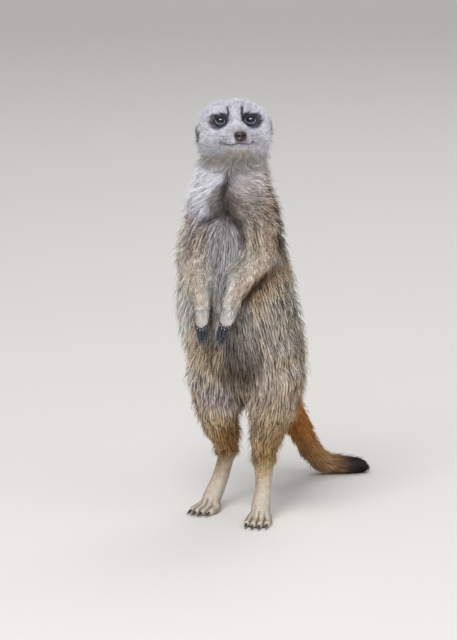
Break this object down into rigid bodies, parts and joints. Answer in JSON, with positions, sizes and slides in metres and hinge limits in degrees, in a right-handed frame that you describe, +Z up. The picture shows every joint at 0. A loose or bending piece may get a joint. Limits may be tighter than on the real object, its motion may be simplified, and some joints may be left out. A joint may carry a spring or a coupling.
{
  "type": "meerkat",
  "caption": "Life-size meerkat standing upright on the toes of its hind feet, forepaws hanging in front, propped by its tail.",
  "frame": {"origin": "on the floor, under the centre of the model's bounding box", "axes": "+Z up, -Y the way the face looks, +X to the animal's left"},
  "size_m": [0.1444, 0.1788, 0.3111],
  "materials": {
    "face_fur": "short grey-white fur",
    "body_fur": "grizzled tan and brown fur",
    "leg_fur": "tan to cream fur",
    "tail_fur": "rust fur with a black tip",
    "ear_fur": "short black fur",
    "nose_leather": "moist dark brown",
    "eyes": "wet dark brown eye",
    "claws": "smooth blue-black horn"
  },
  "bodies": {
    "root": {"head": "face_fur", "neck": "body_fur", "chest": "body_fur", "belly": "body_fur", "upper_arm_left": "body_fur", "upper_arm_right": "body_fur", "forearm_left": "leg_fur", "forearm_right": "leg_fur", "forepaw_left": "leg_fur", "forepaw_right": "leg_fur", "thigh_left": "leg_fur", "thigh_right": "leg_fur", "shank_left": "leg_fur", "shank_right": "leg_fur", "hind_foot_left": "leg_fur", "hind_foot_right": "leg_fur", "tail_base": "tail_fur", "tail_middle": "tail_fur", "tail_tip": "tail_fur", "ear_left": "ear_fur", "ear_right": "ear_fur", "nose": "nose_leather", "eye_left": "eyes", "eye_right": "eyes", "claw_fore_left_1": "claws", "claw_fore_left_2": "claws", "claw_fore_left_3": "claws", "claw_fore_left_4": "claws", "claw_fore_right_1": "claws", "claw_fore_right_2": "claws", "claw_fore_right_3": "claws", "claw_fore_right_4": "claws", "claw_hind_left_1": "claws", "claw_hind_left_2": "claws", "claw_hind_left_3": "claws", "claw_hind_left_4": "claws", "claw_hind_right_1": "claws", "claw_hind_right_2": "claws", "claw_hind_right_3": "claws", "claw_hind_right_4": "claws"}
  },
  "joints": []
}
